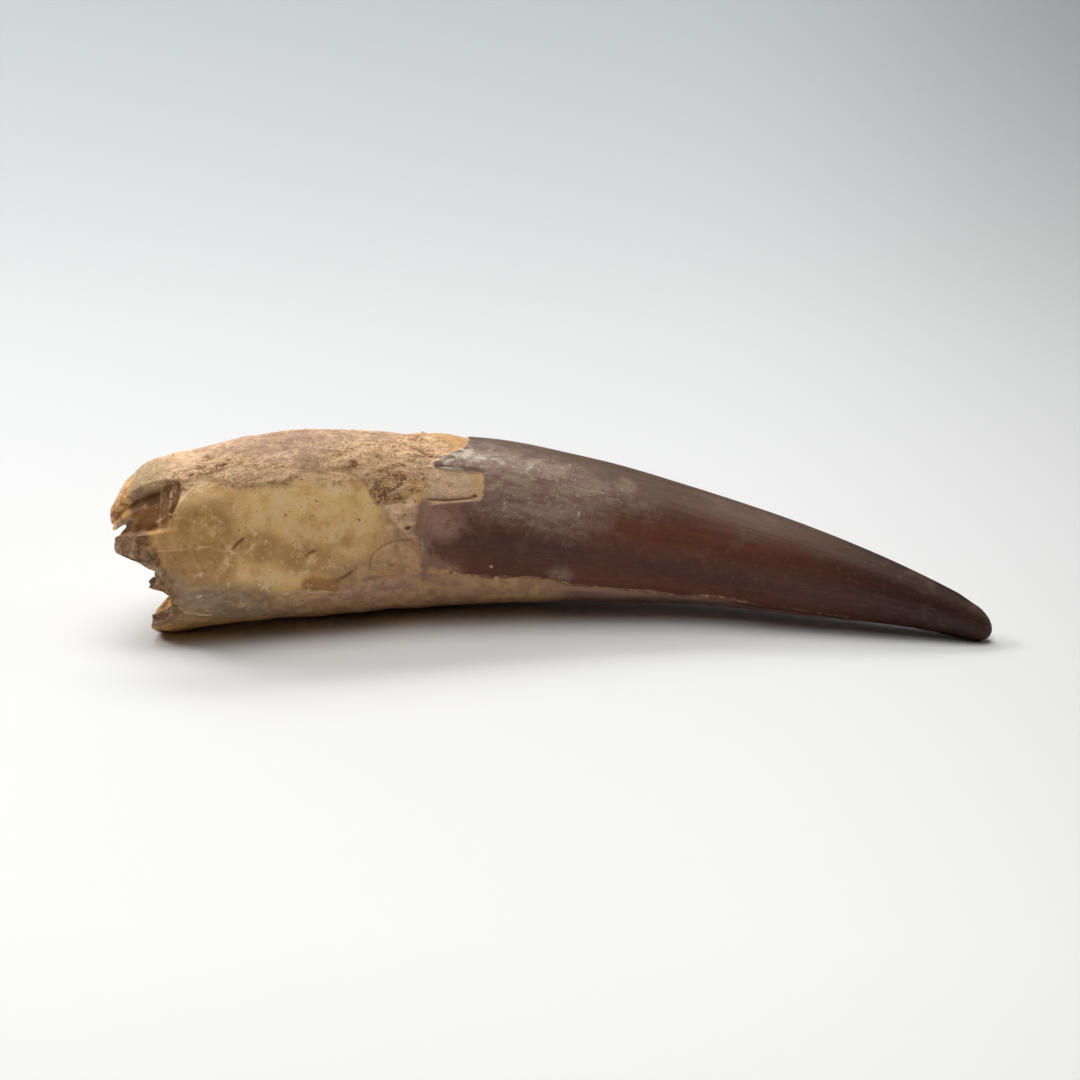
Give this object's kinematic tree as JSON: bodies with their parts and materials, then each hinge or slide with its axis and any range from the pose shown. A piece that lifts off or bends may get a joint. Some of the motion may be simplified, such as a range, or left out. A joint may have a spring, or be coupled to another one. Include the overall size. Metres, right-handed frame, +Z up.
{
  "type": "fossil spinosaurus tooth",
  "caption": "Curved conical fossil spinosaur tooth with a smooth dark crown and a hollow broken root, lying on its side as a display specimen.",
  "frame": {"origin": "under the middle of the tooth's bounding box, on the surface it lies on", "axes": "+X from the broken root to the tip, +Z up from the table, -Y towards the viewer and the inner side of the curve"},
  "size_m": [0.13, 0.0342, 0.0286],
  "materials": {
    "fossil_tooth": "dark red-brown satin enamel on the crown; matt yellow-tan weathered root with a sandy crust"
  },
  "bodies": {
    "root": {"fossil_tooth": "fossil_tooth"}
  },
  "joints": []
}
